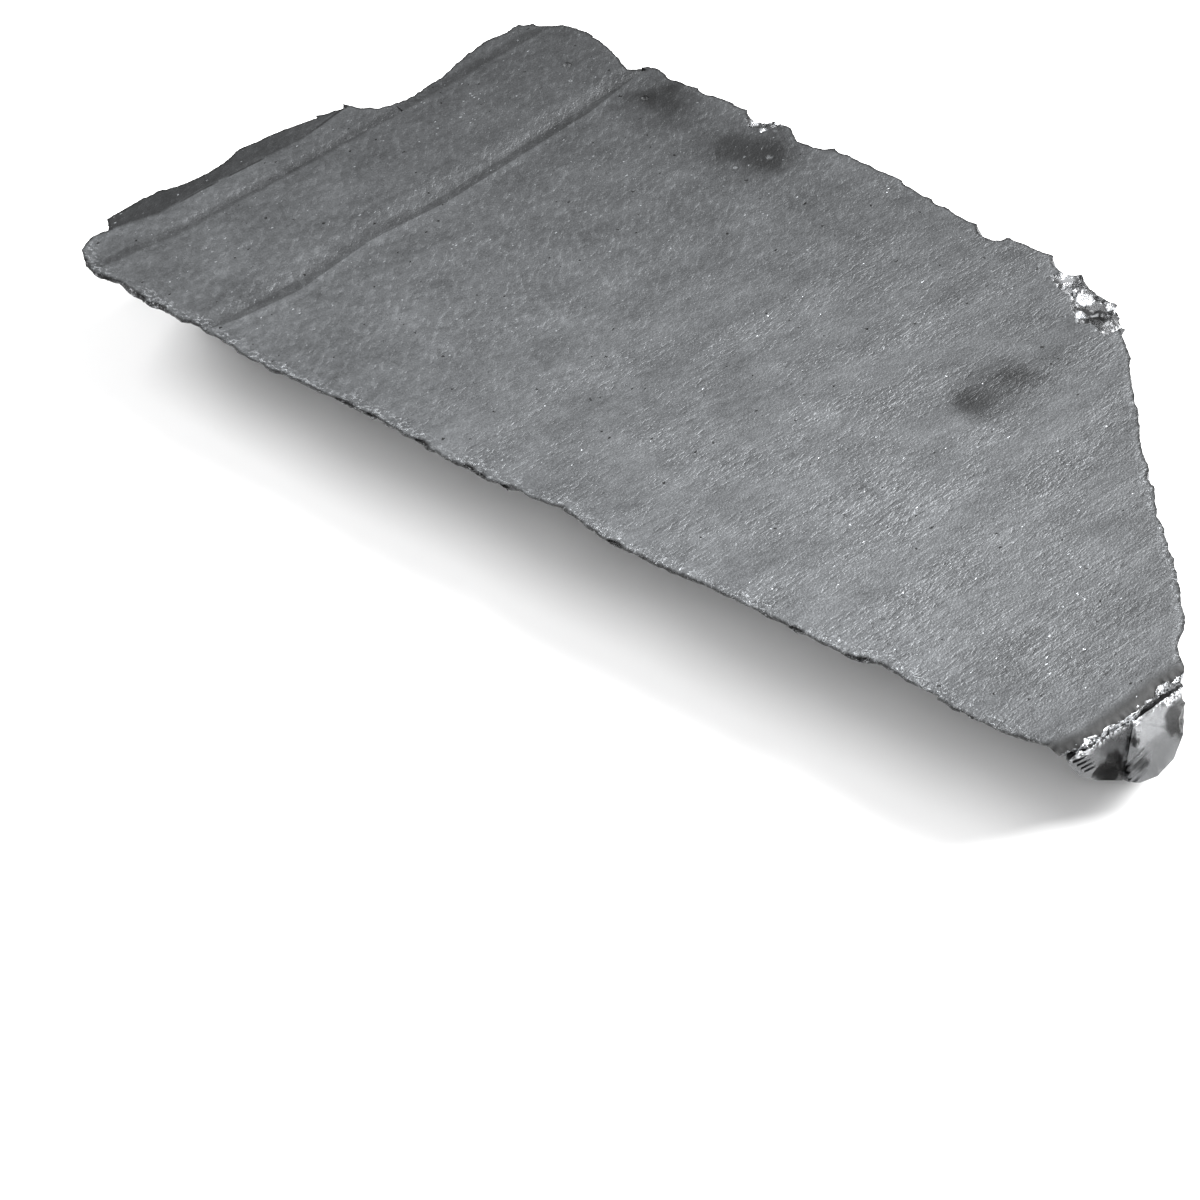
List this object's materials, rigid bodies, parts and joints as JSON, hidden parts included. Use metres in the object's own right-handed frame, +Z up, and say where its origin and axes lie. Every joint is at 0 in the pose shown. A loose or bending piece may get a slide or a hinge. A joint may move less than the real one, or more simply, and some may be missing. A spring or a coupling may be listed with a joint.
{
  "type": "slab of raw silicon",
  "caption": "Flat broken offcut of cast crystalline silicon with a sawn top face, ragged thin rim, undercut glassy sides, a thick faceted corner and a flat cast underside.",
  "frame": {"origin": "middle of the slab's box on the plane of the flat underside", "axes": "+X along the long straight edges towards the thick broken corner, +Y across the sawn face towards the shorter long edge, +Z up out of the sawn face"},
  "size_m": [0.1312, 0.0676, 0.012],
  "materials": {
    "silicon": "satin"
  },
  "bodies": {
    "root": {"silicon_slab": "silicon"}
  },
  "joints": []
}
